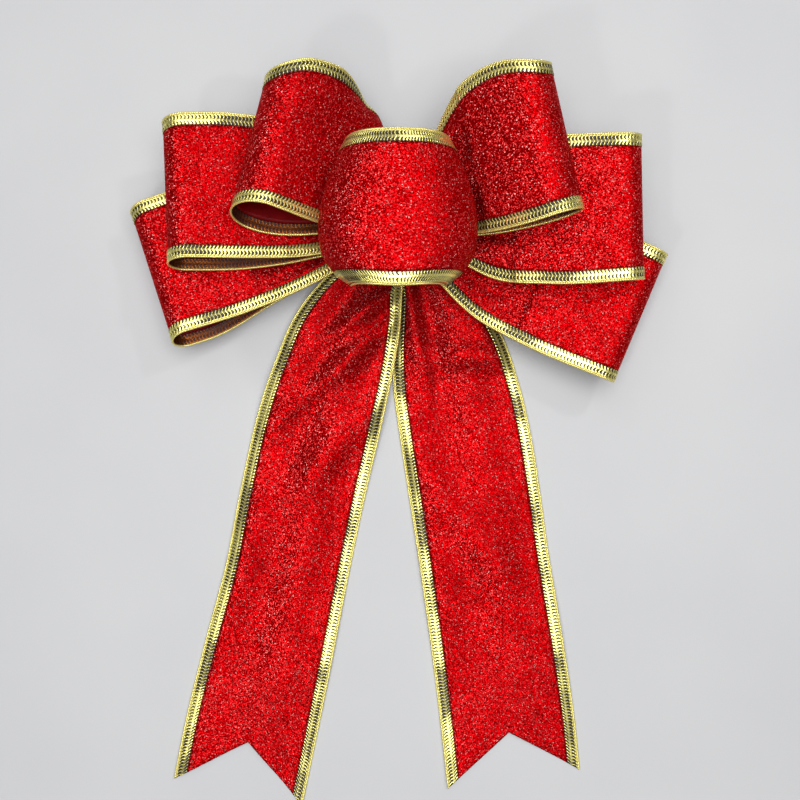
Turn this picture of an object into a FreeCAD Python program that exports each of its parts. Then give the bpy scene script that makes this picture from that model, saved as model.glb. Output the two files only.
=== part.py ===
import FreeCAD, Part
import math
import os
import Sketcher

# A florist's gift bow lying face up. +Z is towards the viewer, +Y towards the bow's top, and the
# tails run towards -Y. The origin is on the rest plane, straight behind the middle of the knot.
# The bow is one wired ribbon folded into loops that are stacked, pinched and bound at the knot,
# with a second length of the same ribbon bound in behind them as the two tails.

doc = FreeCAD.newDocument("gift_bow")

# ---------------------------------------------------------------- driving dimensions (mm, degrees)

SIZES = [
    # the ribbon as it comes off its reel
    ("ribbon_width", 63.5),
    ("ribbon_thickness", 0.5),
    ("border_width", 5.6),
    ("edge_width", 0.8),
    # the same bands where the ribbon is gathered at the knot
    ("gathered_width", 13.0),
    ("gathered_border", 1.5),
    ("gathered_edge", 0.4),
    # the knot: the pinched stack of ribbon and what binds it
    ("knot_width", 12.0),
    ("knot_length", 9.0),
    ("crown_clearance", 0.86),
    ("wire_diameter", 1.0),
    ("wire_pitch", 1.1),
    ("wire_clearance", 0.05),
    ("floor_clearance", 0.15),
    ("twist_gap", 0.15),
    ("twist_length", 9.0),
    ("twist_pitch", 3.0),
    ("tie_width", 3.2),
    ("tie_thickness", 0.9),
    ("tie_core_diameter", 0.45),
    ("tie_leg_length", 58.0),
    ("tie_gap", 1.4),
    # where the loops leave the knot, and the share of the ribbon's width they take to open out
    ("neck_gap", 3.2),
    ("neck_thickness", 1.7),
    ("loop_taper_share", 0.6),
    ("throat_reach", 32.0),
    # the puffed loop over the front of the knot
    ("centre_half_width", 33.5),
    ("centre_half_height", 27.0),
    ("centre_taper_share", 0.33),
    ("centre_shift", -7.0),
    ("centre_neck_inset", 0.5),
    # the tails
    ("tail_gap", 0.95),
    ("tail_taper_end", 78.0),
    ("tail_step", 0.9),
    ("tail_step_start", 110.0),
    ("tail_step_end", 130.0),
]

# For each loop: height of its root, heading of its middle line, its rise above the floor, the roll
# of its width, the distance from the knot to its fold, the radius of the fold, the gap between its
# plies at the throat, and how far the wide part is set over from the line through the knot.
LOOPS = {
    "upper_left": (19.5, 163.0, 25.0, 8.0, 74.7, 10.5, 3.4, -11.9),
    "upper_right": (19.5, 13.0, 24.5, 0.0, 83.6, 10.0, 3.4, 10.1),
    "middle_left": (14.0, 182.0, 13.5, 3.5, 104.5, 8.0, 3.0, -12.2),
    "middle_right": (14.0, 1.1, 13.0, 0.0, 110.0, 7.5, 3.0, -2.2),
    "lower_left": (8.5, 198.2, 6.6, 5.0, 116.1, 6.5, 2.6, -10.4),
    "lower_right": (8.5, -22.7, 6.0, 0.0, 121.0, 6.5, 2.6, -0.4),
}
LOOP_SIZES = ("root", "heading", "rise", "roll", "reach", "fold_radius", "throat", "shift")

# For each tail: heading, length from the knot to its points, depth of the notch, how far it is set
# over from the line through the knot, and whether its top crosses over the other tail's.
TAILS = {
    "left_tail": (-102.3, 281.0, 24.5, -16.6, 1.0),
    "right_tail": (-82.2, 270.0, 22.6, 18.1, 0.0),
}
TAIL_SIZES = ("heading", "length", "notch", "shift", "over")

ROWS = list(SIZES)
for name, numbers in LOOPS.items():
    ROWS += [(f"{name}_{word}", number) for word, number in zip(LOOP_SIZES, numbers)]
for name, numbers in TAILS.items():
    ROWS += [(f"{name}_{word}", number) for word, number in zip(TAIL_SIZES, numbers)]

# Every driving dimension goes in a named cell.
sizes = doc.addObject("Spreadsheet::Sheet", "Sizes")
for line, (alias, number) in enumerate(ROWS, start=1):
    sizes.set(f"A{line}", alias.replace("_", " "))
    sizes.set(f"B{line}", repr(number))
    sizes.setAlias(f"B{line}", alias)
doc.recompute()

WORDS = sorted((alias for alias, number in ROWS), key=len, reverse=True)


def cells(expression):
    """An expression of the sheet's own words, with each word's cell named in full."""
    out = ""
    position = 0
    while position < len(expression):
        found = next((w for w in WORDS if expression.startswith(w, position)), None)
        out += f"Sizes.{found}" if found else expression[position]
        position += len(found) if found else 1
    return out


def value(expression):
    """What an expression of the sheet's words comes to now."""
    return float(sizes.evalExpression(cells(expression)))


# ---------------------------------------------------------------- building blocks

FLAT = FreeCAD.Rotation()
UPRIGHT = FreeCAD.Rotation(FreeCAD.Vector(1, 0, 0), 90)      # sketch x, y to x, z
STANDING = FreeCAD.Rotation(FreeCAD.Vector(0, 1, 0), -90)    # sketch x, y to z, y
CROSSWISE = FreeCAD.Rotation(FreeCAD.Vector(1, 1, 1), 120)   # sketch x, y to y, z
ORIGIN = (-1, 1)
X_AXIS = -1

# Cutting shapes reach this far past what they cut.
BEYOND = "5"
SHEET_DEPTH = "3 * ribbon_width"
LOOP_TAPER_END = "(loop_taper_share * ribbon_width)"


def measure(sketch, kind, where, expression):
    """A sketch dimension that follows an expression of the sheet's words."""
    number = sketch.addConstraint(Sketcher.Constraint(kind, *where, value(expression)))
    sketch.setExpression(f"Constraints[{number}]", cells(expression))


def add_outline(sketch, corners):
    """A closed run of straight lines; each corner is a pair of expressions."""
    points = [FreeCAD.Vector(value(x), value(y), 0) for x, y in corners]
    first = sketch.GeometryCount
    count = len(points)
    for i in range(count):
        sketch.addGeometry(Part.LineSegment(points[i], points[(i + 1) % count]))
    for i in range(count):
        after = first + (i + 1) % count
        sketch.addConstraint(Sketcher.Constraint("Coincident", first + i, 2, after, 1))
        measure(sketch, "DistanceX", (*ORIGIN, first + i, 1), corners[i][0])
        measure(sketch, "DistanceY", (*ORIGIN, first + i, 1), corners[i][1])


def add_teardrop(sketch, start, neck, throat_at, throat, reach, radius):
    """A loop seen from its side: a narrow neck, two plies that part, and a round fold."""
    neck_x = value(start)
    neck_half = value(neck) / 2
    throat_x = value(throat_at)
    throat_half = value(throat) / 2
    fold = value(radius)
    centre = value(reach) - value(radius)
    side = math.hypot(centre - throat_x, throat_half)
    turn = math.atan2(throat_half, throat_x - centre) - math.acos(fold / side)
    low_neck = FreeCAD.Vector(neck_x, -neck_half, 0)
    high_neck = FreeCAD.Vector(neck_x, neck_half, 0)
    low_throat = FreeCAD.Vector(throat_x, -throat_half, 0)
    high_throat = FreeCAD.Vector(throat_x, throat_half, 0)
    high_fold = FreeCAD.Vector(centre + fold * math.cos(turn), fold * math.sin(turn), 0)
    low_fold = FreeCAD.Vector(high_fold.x, -high_fold.y, 0)
    circle = Part.Circle(FreeCAD.Vector(centre, 0, 0), FreeCAD.Vector(0, 0, 1), fold)
    n = sketch.GeometryCount
    sketch.addGeometry(Part.LineSegment(low_neck, high_neck))
    sketch.addGeometry(Part.LineSegment(high_neck, high_throat))
    sketch.addGeometry(Part.LineSegment(high_throat, high_fold))
    sketch.addGeometry(Part.ArcOfCircle(circle, -turn, turn))
    sketch.addGeometry(Part.LineSegment(low_fold, low_throat))
    sketch.addGeometry(Part.LineSegment(low_throat, low_neck))
    for kind, one, its_end, other, other_end in (
        ("Coincident", 0, 2, 1, 1),
        ("Coincident", 1, 2, 2, 1),
        ("Tangent", 2, 2, 3, 2),
        ("Tangent", 3, 1, 4, 1),
        ("Coincident", 4, 2, 5, 1),
        ("Coincident", 5, 2, 0, 1),
    ):
        sketch.addConstraint(Sketcher.Constraint(kind, n + one, its_end, n + other, other_end))
    sketch.addConstraint(Sketcher.Constraint("PointOnObject", n + 3, 3, X_AXIS))
    sketch.addConstraint(Sketcher.Constraint("Symmetric", n, 1, n, 2, X_AXIS))
    sketch.addConstraint(Sketcher.Constraint("Symmetric", n + 1, 2, n + 4, 2, X_AXIS))
    measure(sketch, "DistanceX", (*ORIGIN, n, 1), start)
    measure(sketch, "DistanceY", (n, 1, n, 2), neck)
    measure(sketch, "DistanceX", (*ORIGIN, n + 1, 2), throat_at)
    measure(sketch, "DistanceY", (n + 4, 2, n + 1, 2), throat)
    measure(sketch, "Radius", (n + 3,), radius)
    measure(sketch, "DistanceX", (*ORIGIN, n + 3, 3), f"{reach} - {radius}")


def new_sketch(name, turn=FLAT):
    sketch = doc.addObject("Sketcher::SketchObject", name)
    sketch.Placement = FreeCAD.Placement(FreeCAD.Vector(), turn)
    return sketch


def extrude(name, base, length):
    """A closed profile drawn out equally to both sides of its plane."""
    solid = doc.addObject("Part::Extrusion", name)
    solid.Base = base
    solid.DirMode = "Normal"
    solid.Solid = True
    solid.Symmetric = True
    solid.setExpression("LengthFwd", cells(length))
    return solid


def outline_solid(name, outlines, length, turn=FLAT):
    """One or more straight-sided outlines drawn out into solids."""
    sketch = new_sketch(f"{name}_sketch", turn)
    for corners in outlines:
        add_outline(sketch, corners)
    return extrude(name, sketch, length)


def common(name, first, second):
    both = doc.addObject("Part::Common", name)
    both.Base = first
    both.Tool = second
    return both


def cut(name, first, second):
    rest = doc.addObject("Part::Cut", name)
    rest.Base = first
    rest.Tool = second
    return rest


NODES = {}


def keep(name, piece):
    """Names a finished sub-part; its label is its file's name."""
    piece.Label = name
    NODES[name] = piece
    return piece


# ---------------------------------------------------------------- the ribbon's five bands

# Across the ribbon, from one edge to the other: half-widths where it is gathered and where it is
# at full width. Between them lie a wired edge, a gold border, the glitter web, and the same again.
HALF_BANDS = (
    ("gathered_width / 2", "ribbon_width / 2"),
    ("(gathered_width / 2 - gathered_edge)", "(ribbon_width / 2 - edge_width)"),
    ("(gathered_width / 2 - gathered_border)", "(ribbon_width / 2 - border_width)"),
)


def band_lines(shift, squeeze="1"):
    """The six lines that part the bands, each as (gathered, full) offsets from the middle."""
    low = [(f"-({g}) * {squeeze}", f"{shift} - {w}") for g, w in HALF_BANDS]
    high = [(f"({g}) * {squeeze}", f"{shift} + {w}") for g, w in reversed(HALF_BANDS)]
    return low + high


def band(low, high, start, taper_end, far):
    """The plan outline of one band: narrow at the knot, opening to its full width."""
    return [
        ("0", low[0]),
        (start, low[0]),
        (taper_end, low[1]),
        (far, low[1]),
        (far, high[1]),
        (taper_end, high[1]),
        (start, high[0]),
        ("0", high[0]),
    ]


def split_ribbon(name, sheet, lines, start, taper_end, far, depth, turn, low_name, high_name):
    """Cuts one shaped sheet of ribbon into its web, its two gold borders and its wired edges."""
    def piece(word, *pairs):
        outlines = [band(lines[a], lines[b], start, taper_end, far) for a, b in pairs]
        stencil = outline_solid(f"{name}_{word}_stencil", outlines, depth, turn)
        return keep(f"{name}_{word}", common(f"{name}_{word}_cut", sheet, stencil))

    return [
        piece("web", (2, 3)),
        piece(f"{low_name}_border", (1, 2)),
        piece(f"{high_name}_border", (3, 4)),
        piece("wired_edges", (0, 1), (4, 5)),
    ]


def place(pieces, turn, height="0"):
    """Puts pieces that were made about the X axis where they belong on the knot."""
    yaw, pitch, roll = turn
    for piece in pieces:
        turned = FreeCAD.Rotation(value(yaw), value(pitch), value(roll))
        piece.Placement = FreeCAD.Placement(FreeCAD.Vector(), turned)
        piece.setExpression("Placement.Base.z", cells(height))


# ---------------------------------------------------------------- the six side loops

def side_loop(side):
    """One loop of ribbon that leaves the knot sideways, folds round and comes back to it."""
    name = f"{side}_loop"
    start = "(knot_length / 2 + neck_gap)"
    profile = new_sketch(f"{name}_profile", UPRIGHT)
    add_teardrop(
        profile, start, "neck_thickness", "throat_reach",
        f"{side}_throat", f"{side}_reach", f"{side}_fold_radius",
    )
    add_teardrop(
        profile, f"({start} + ribbon_thickness)", "(neck_thickness - 2 * ribbon_thickness)",
        "throat_reach", f"({side}_throat - 2 * ribbon_thickness)",
        f"({side}_reach - ribbon_thickness)", f"({side}_fold_radius - ribbon_thickness)",
    )
    sheet = extrude(f"{name}_sheet", profile, SHEET_DEPTH)
    low_name, high_name = ("upper", "lower") if side.endswith("left") else ("lower", "upper")
    pieces = split_ribbon(
        name, sheet, band_lines(f"{side}_shift"), start, LOOP_TAPER_END, f"({side}_reach + {BEYOND})",
        f"4 * {side}_fold_radius", FLAT, low_name, high_name,
    )
    place(pieces, (f"{side}_heading", f"0 - {side}_rise", f"{side}_roll"), f"{side}_root")


for loop_side in LOOPS:
    side_loop(loop_side)

# ---------------------------------------------------------------- heights and widths in the knot

WIRE_LOW = "(floor_clearance + wire_diameter / 2)"
TIE_LOW = "(floor_clearance + wire_diameter + wire_clearance)"
KNOT_LOW = f"({TIE_LOW} + tie_thickness + wire_clearance)"


def crest(side):
    """How high a rising loop reaches under the centre loop's curved flank."""
    steepest = f"(centre_half_width * tan({side}_rise))"
    climb = f"sqrt({steepest} ^ 2 + centre_half_height ^ 2) - centre_half_height"
    return f"{side}_root + {side}_throat / 2 + {climb}"


# The centre loop rests just clear of the two upper loops, and the knot fills what is below it.
KNOT_TOP = f"(max({crest('upper_left')}; {crest('upper_right')}) + crown_clearance)"
WIRE_HIGH = f"({KNOT_TOP} + ribbon_thickness + wire_clearance + wire_diameter / 2)"
WIRE_SIDE = "(knot_width / 2 + wire_clearance + wire_diameter / 2)"
TAIL_START = f"({WIRE_SIDE} + wire_diameter / 2 + tail_gap)"

# ---------------------------------------------------------------- the centre loop


def ellipse_solid(name, half_width, half_height):
    """An elliptical cylinder whose axis lies along Y, standing on the top of the knot."""
    rim = doc.addObject("Part::Ellipse", f"{name}_rim")
    rim.setExpression("MajorRadius", cells(half_width))
    rim.setExpression("MinorRadius", cells(half_height))
    rim.Placement = FreeCAD.Placement(
        FreeCAD.Vector(0, 0, value(f"{KNOT_TOP} + centre_half_height")), UPRIGHT
    )
    return extrude(name, rim, SHEET_DEPTH)


def centre_loop():
    """A ring of ribbon, open at its top and bottom, pinched to the knot at its back."""
    outside = ellipse_solid("centre_outside", "centre_half_width", "centre_half_height")
    inside = ellipse_solid(
        "centre_inside", "centre_half_width - ribbon_thickness",
        "centre_half_height - ribbon_thickness",
    )
    ring = cut("centre_ring", outside, inside)
    squeeze = "((knot_width - 2 * centre_neck_inset) / gathered_width)"
    split_ribbon(
        "centre_loop", ring, band_lines("centre_shift", squeeze),
        f"({KNOT_TOP} + ribbon_thickness)",
        f"({KNOT_TOP} + centre_taper_share * ribbon_width)",
        f"({KNOT_TOP} + 2 * centre_half_height + {BEYOND})",
        "3 * centre_half_width", STANDING, "lower", "upper",
    )


centre_loop()

# ---------------------------------------------------------------- the tails


def tail(name):
    """A flat length of ribbon from the knot to a swallow-tail end."""
    low = f"{name}_over * tail_step"
    length = f"{name}_length"
    side_view = [
        (TAIL_START, low),
        ("tail_step_start", low),
        ("tail_step_end", "0"),
        (length, "0"),
        (length, "ribbon_thickness"),
        ("tail_step_end", "ribbon_thickness"),
        ("tail_step_start", f"{low} + ribbon_thickness"),
        (TAIL_START, f"{low} + ribbon_thickness"),
    ]
    strip = outline_solid(f"{name}_strip", [side_view], SHEET_DEPTH, UPRIGHT)
    notch = [
        (f"{length} - {name}_notch", f"{name}_shift"),
        (f"{length} + {name}_notch", f"{name}_shift - ribbon_width"),
        (f"{length} + {name}_notch", f"{name}_shift + ribbon_width"),
    ]
    wedge = outline_solid(f"{name}_wedge", [notch], "ribbon_width")
    sheet = cut(f"{name}_sheet", strip, wedge)
    low_name, high_name = ("outer", "inner") if name.startswith("left") else ("inner", "outer")
    pieces = split_ribbon(
        name, sheet, band_lines(f"{name}_shift"), TAIL_START, "tail_taper_end",
        f"({length} + {BEYOND})", "ribbon_width", FLAT, low_name, high_name,
    )
    place(pieces, (f"{name}_heading", "0", "0"))


for tail_name in TAILS:
    tail(tail_name)

# ---------------------------------------------------------------- the knot


def gathered_knot():
    """The stack of ribbon pinched together at the middle of the bow."""
    block = doc.addObject("Part::Box", "gathered_block")
    block.setExpression("Length", cells("knot_length"))
    block.setExpression("Width", cells("knot_width"))
    block.setExpression("Height", cells(f"{KNOT_TOP} - {KNOT_LOW}"))
    block.setExpression("Placement.Base.x", cells("0 - knot_length / 2"))
    block.setExpression("Placement.Base.y", cells("0 - knot_width / 2"))
    block.setExpression("Placement.Base.z", cells(KNOT_LOW))
    return keep("gathered_knot", block)


def wire_turn(name, x):
    """One turn of the binding wire, round the knot and over the centre loop's back ply."""
    path = new_sketch(f"{name}_path", CROSSWISE)
    add_outline(path, [
        (f"0 - {WIRE_SIDE}", WIRE_LOW),
        (WIRE_SIDE, WIRE_LOW),
        (WIRE_SIDE, WIRE_HIGH),
        (f"0 - {WIRE_SIDE}", WIRE_HIGH),
    ])
    path.setExpression("Placement.Base.x", cells(x))
    section = doc.addObject("Part::Circle", f"{name}_section")
    section.setExpression("Radius", cells("wire_diameter / 2"))
    section.Placement = FreeCAD.Placement(FreeCAD.Vector(), UPRIGHT)
    section.setExpression("Placement.Base.x", cells(x))
    section.setExpression("Placement.Base.z", cells(WIRE_LOW))
    turn = doc.addObject("Part::Sweep", name)
    turn.Sections = [section]
    turn.Spine = (path, [f"Edge{i}" for i in range(1, 5)])
    turn.Solid = True
    turn.Transition = "Round corner"
    return turn


def binding_wire():
    """Two turns of wire side by side."""
    wire = doc.addObject("Part::Compound", "binding_turns")
    wire.Links = [
        wire_turn("near_turn", "wire_pitch / 2"),
        wire_turn("far_turn", "0 - wire_pitch / 2"),
    ]
    return keep("binding_wire", wire)


def wire_twist():
    """The wire's two ends twisted together and laid flat behind the knot, towards the top."""
    strands = []
    coil = value("wire_diameter / 2 + wire_clearance")
    climb = math.degrees(math.atan2(value("twist_pitch"), 2 * math.pi * coil))
    across = FreeCAD.Rotation(FreeCAD.Vector(1, 0, 0), climb - 90)
    for number, angle in enumerate((0, 180)):
        helix = doc.addObject("Part::Helix", f"twist_path_{number}")
        helix.setExpression("Pitch", cells("twist_pitch"))
        helix.setExpression("Height", cells("twist_length"))
        helix.setExpression("Radius", cells("wire_diameter / 2 + wire_clearance"))
        section = doc.addObject("Part::Circle", f"twist_section_{number}")
        section.setExpression("Radius", cells("wire_diameter / 2"))
        section.Placement = FreeCAD.Placement(FreeCAD.Vector(coil, 0, 0), across)
        strand = doc.addObject("Part::Sweep", f"twist_strand_{number}")
        strand.Sections = [section]
        strand.Spine = (helix, ["Edge1"])
        strand.Solid = True
        strand.Frenet = True
        strand.Placement = FreeCAD.Placement(
            FreeCAD.Vector(), FreeCAD.Rotation(FreeCAD.Vector(0, 0, 1), angle)
        )
        strands.append(strand)
    pair = doc.addObject("Part::Compound", "twist_pair")
    pair.Links = strands
    lying = FreeCAD.Rotation(FreeCAD.Vector(1, 0, 0), -90)
    start = value(f"{WIRE_SIDE} + wire_diameter + twist_gap")
    height = value("floor_clearance + wire_diameter + wire_clearance")
    pair.Placement = FreeCAD.Placement(FreeCAD.Vector(0, start, height), lying)
    return keep("binding_wire_twist", pair)


def strap(name, start, length):
    """A flat strip with a wire core along X, as (sleeve, core), from its inner end."""
    sleeve = doc.addObject("Part::Box", f"{name}_block")
    sleeve.setExpression("Length", cells(length))
    sleeve.setExpression("Width", cells("tie_width"))
    sleeve.setExpression("Height", cells("tie_thickness"))
    sleeve.setExpression("Placement.Base.x", cells(start))
    sleeve.setExpression("Placement.Base.y", cells("0 - tie_width / 2"))
    sleeve.setExpression("Placement.Base.z", cells(TIE_LOW))
    cores = []
    for use in ("bore", "wire"):
        core = doc.addObject("Part::Cylinder", f"{name}_{use}")
        core.setExpression("Radius", cells("tie_core_diameter / 2"))
        core.setExpression("Height", cells(length))
        core.Placement = FreeCAD.Placement(
            FreeCAD.Vector(), FreeCAD.Rotation(FreeCAD.Vector(0, 1, 0), 90)
        )
        core.setExpression("Placement.Base.x", cells(start))
        core.setExpression("Placement.Base.z", cells(f"{TIE_LOW} + tie_thickness / 2"))
        cores.append(core)
    keep(f"{name}_sleeve", cut(f"{name}_skin", sleeve, cores[0]))
    keep(f"{name}_core", cores[1])


gathered_knot()
binding_wire()
wire_twist()
BAND_HALF = "(knot_length / 2 + neck_gap)"
strap("tie_band", f"0 - {BAND_HALF}", f"2 * {BAND_HALF}")
strap("tie_right_leg", f"{BAND_HALF} + tie_gap", "tie_leg_length")
strap("tie_left_leg", f"0 - {BAND_HALF} - tie_gap - tie_leg_length", "tie_leg_length")

# ---------------------------------------------------------------- check and write

doc.recompute()


def check_and_write():
    """Stops on any failed object, then writes each sub-part to its own file."""
    for item in doc.Objects:
        if "Invalid" in item.State or "Error" in item.State:
            raise RuntimeError(f"{item.Name} failed: {item.State}")
    os.makedirs("parts", exist_ok=True)
    for name, piece in NODES.items():
        shape = piece.Shape
        if shape.isNull() or not shape.isValid() or not shape.Solids:
            raise RuntimeError(f"{name} is not a valid solid")
        shape.exportStep(f"parts/{name}.step")
        print(f"{name}: {len(shape.Solids)} solid(s), {shape.Volume:.1f} mm3")


check_and_write()
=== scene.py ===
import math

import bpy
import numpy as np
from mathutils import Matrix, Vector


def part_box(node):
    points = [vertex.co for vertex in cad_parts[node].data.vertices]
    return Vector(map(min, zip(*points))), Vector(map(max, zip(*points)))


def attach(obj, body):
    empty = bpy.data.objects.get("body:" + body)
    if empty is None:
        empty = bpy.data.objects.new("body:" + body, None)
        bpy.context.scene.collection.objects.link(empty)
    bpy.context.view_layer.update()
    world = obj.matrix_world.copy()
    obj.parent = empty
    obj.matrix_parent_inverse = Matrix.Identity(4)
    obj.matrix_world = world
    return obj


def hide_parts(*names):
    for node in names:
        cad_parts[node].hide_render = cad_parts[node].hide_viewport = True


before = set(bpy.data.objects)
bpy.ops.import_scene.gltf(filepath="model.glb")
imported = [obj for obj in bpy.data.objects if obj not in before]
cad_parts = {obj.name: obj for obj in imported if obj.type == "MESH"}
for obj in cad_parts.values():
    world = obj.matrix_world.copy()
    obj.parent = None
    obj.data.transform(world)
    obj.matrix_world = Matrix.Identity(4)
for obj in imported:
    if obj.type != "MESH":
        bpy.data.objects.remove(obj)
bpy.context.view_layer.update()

# %% [markdown]
# A florist's gift bow is made of one kind of stuff: wired ribbon. The reel's ribbon is a web of
# red glitter cloth with a woven gold border along each side, and a fine wire inside each edge
# that lets a loop keep its puff. The loaded frame holds the plain solids of every length of it.
# Each one is remade here as thin, gathered cloth in the same place, and rides on the same body.

MM = 0.001
HALF_WIDTH = 31.75
BORDER = 5.6
INNER = HALF_WIDTH - BORDER
WIRED_EDGE = 0.8
WEB_THICKNESS = 0.35
BORDER_THICKNESS = 0.25
print("ribbon:", 2 * HALF_WIDTH, "mm wide, its red web", 2 * INNER, "mm")

# %% [markdown]
# A curve that goes smoothly through a few chosen points describes each edge of the ribbon. This is
# what a curve object does too, but as a plain function it can be asked for any point, so one shape
# serves the web, the borders and the wires, and they always meet.

# %% Smooth curves and steps


def ease(start, end, x):
    """0 before start, 1 after end, and a smooth step between them."""
    t = np.clip((x - start) / (end - start), 0, 1)
    return t * t * (3 - 2 * t)


def through(points, x):
    """The height at x of a smooth curve through a few (x, height) points."""
    xs, ys = np.array(points, float).T
    slopes = np.gradient(ys, xs)
    i = np.clip(np.searchsorted(xs, x) - 1, 0, len(xs) - 2)
    step = xs[i + 1] - xs[i]
    t = np.clip((x - xs[i]) / step, 0, 1)
    start = (1 + 2 * t) * (1 - t) ** 2 * ys[i] + t * (1 - t) ** 2 * step * slopes[i]
    end = t * t * (3 - 2 * t) * ys[i + 1] + t * t * (t - 1) * step * slopes[i + 1]
    return start + end


def turned(heading, rise, roll):
    """The three axes of a piece that heads, rises and rolls by these degrees."""
    h, r, o = np.radians((heading, -rise, roll))
    about_z = np.array([[np.cos(h), -np.sin(h), 0], [np.sin(h), np.cos(h), 0], [0, 0, 1]])
    about_y = np.array([[np.cos(r), 0, np.sin(r)], [0, 1, 0], [-np.sin(r), 0, np.cos(r)]])
    about_x = np.array([[1, 0, 0], [0, np.cos(o), -np.sin(o)], [0, np.sin(o), np.cos(o)]])
    return about_z @ about_y @ about_x


print("a smooth step from 0 to 10 stands at", ease(0, 10, 5), "halfway")

# %% [markdown]
# Six side loops are stacked in three pairs. On the real bow each is a length of ribbon that leaves
# the knot, folds round and comes back under itself, and its wired edges hold it where a hand put
# it. A loop could be sculpted, but a short table of measured edges is easier to correct.

# %% The side loops' measures

# Millimetres and degrees. root is how high the loop leaves the knot, fold the radius of its end,
# rolled how far its upper edge rolls back near the knot, and skew how far the lower ply is set
# aside: near the knot, at the fold, and the two distances between which it changes. upper and
# lower are its two edges, as (distance from the knot, offset towards the bow's top).
SIDE_LOOPS = {
    "upper_left": dict(
        root=19.5, heading=163.0, rise=28.0, roll=8.0, reach=76.0,
        fold=12.5, rolled=12.0, skew=(0.0, 6.0, 12, 60), waves=2.3, phase=0.35,
        upper=((4, 11), (16, 46), (30, 50.5), (44, 50), (60, 47.5), (76, 41)),
        lower=((4, -5), (20, -13), (38, -18), (58, -20), (76, -20)),
    ),
    "upper_right": dict(
        root=19.5, heading=13.0, rise=27.3, roll=-1.0, reach=84.5,
        fold=12.0, rolled=4.0, skew=(0.0, -1.5, 12, 60), waves=2.3, phase=-0.2,
        upper=((4, 5), (20, 24), (42, 42), (64, 47), (84, 42)),
        lower=((4, -5), (20, -14), (42, -20), (64, -22), (84, -21.5)),
    ),
    "middle_left": dict(
        root=14.0, heading=182.0, rise=14.0, roll=3.5, reach=105.0,
        fold=8.5, rolled=0.0, skew=(0.0, 2.5, 30, 76), waves=2.1, phase=0.6,
        upper=((4, 5), (24, 26), (44, 42), (70, 45), (105, 44)),
        lower=((4, -5), (24, -14), (44, -18), (70, -19.5), (105, -19.5)),
    ),
    "middle_right": dict(
        root=14.0, heading=1.1, rise=14.0, roll=0.5, reach=110.5,
        fold=8.5, rolled=0.0, skew=(0.0, -1.8, 12, 60), waves=2.2, phase=0.1,
        upper=((4, 5), (24, 20), (44, 29), (70, 31), (110, 29.5)),
        lower=((4, -5), (24, -18), (44, -30), (70, -34), (110, -34)),
    ),
    "lower_left": dict(
        root=8.5, heading=198.2, rise=6.6, roll=5.0, reach=116.4,
        fold=7.5, rolled=0.0, skew=(-3.0, 3.8, 56, 102), waves=2.0, phase=-0.4,
        upper=((4, 5), (26, 25), (48, 39), (76, 43), (116, 42)),
        lower=((4, -5), (26, -13), (48, -18), (76, -21), (116, -21.5)),
    ),
    "lower_right": dict(
        root=8.5, heading=-22.7, rise=5.7, roll=0.5, reach=121.0,
        fold=7.5, rolled=0.0, skew=(0.0, -1.2, 12, 60), waves=2.1, phase=0.5,
        upper=((4, 5), (26, 20), (48, 29), (76, 32), (121, 31)),
        lower=((4, -5), (26, -18), (48, -28), (76, -32), (121, -32.5)),
    ),
}
print("side loops:", ", ".join(SIDE_LOOPS))

# %% [markdown]
# Where the ribbon is gathered it is narrower than it was cut, and the width that is lost stands up
# in pleats. So the pleats' height is worked out from the lost width, not drawn. The borders are
# stiffer than the web, so they keep more of their own width.

# %% Pleats from the lost width


def pleat_height(width, waves):
    """How high pleats stand when the full ribbon is drawn in to this width."""
    lost = np.clip(2 * HALF_WIDTH / np.maximum(width, 1) - 1, 0, None)
    return width / (np.pi * waves) * np.sqrt(lost)


def drawn_in(v, width):
    """The offset from the middle when the ribbon is drawn in to a width, its borders less so."""
    stiff = np.clip(1.7 * width / (2 * HALF_WIDTH), 0.3, 1)
    stiff = np.minimum(stiff, 0.32 * width / BORDER)
    inner = width / 2 - stiff * BORDER
    within = np.clip(np.abs(v) / INNER, 0, 1) * inner
    beyond = np.clip(np.abs(v) - INNER, 0, None) * stiff
    return np.sign(v) * (within + beyond)


print(f"drawn in to 20 mm in two waves, the pleats stand {pleat_height(20, 2):.1f} mm high")

# %% [markdown]
# A side loop starts flat against the knot, opens as its two plies part, and folds round at its
# end. Its outline seen along the edge is drawn first, and its length is the ribbon's length. Then
# every spot of the ribbon is set between the two edges, and the pleats are added to it.

# %% A side loop's surface
LOOP_START = 5.5
NECK_HALF_GAP = 0.8
OPENING_POWER = 1.5
PLEAT_FULLNESS = 3.4
PLEATS_FADE = (0.45, 0.95)


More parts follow.
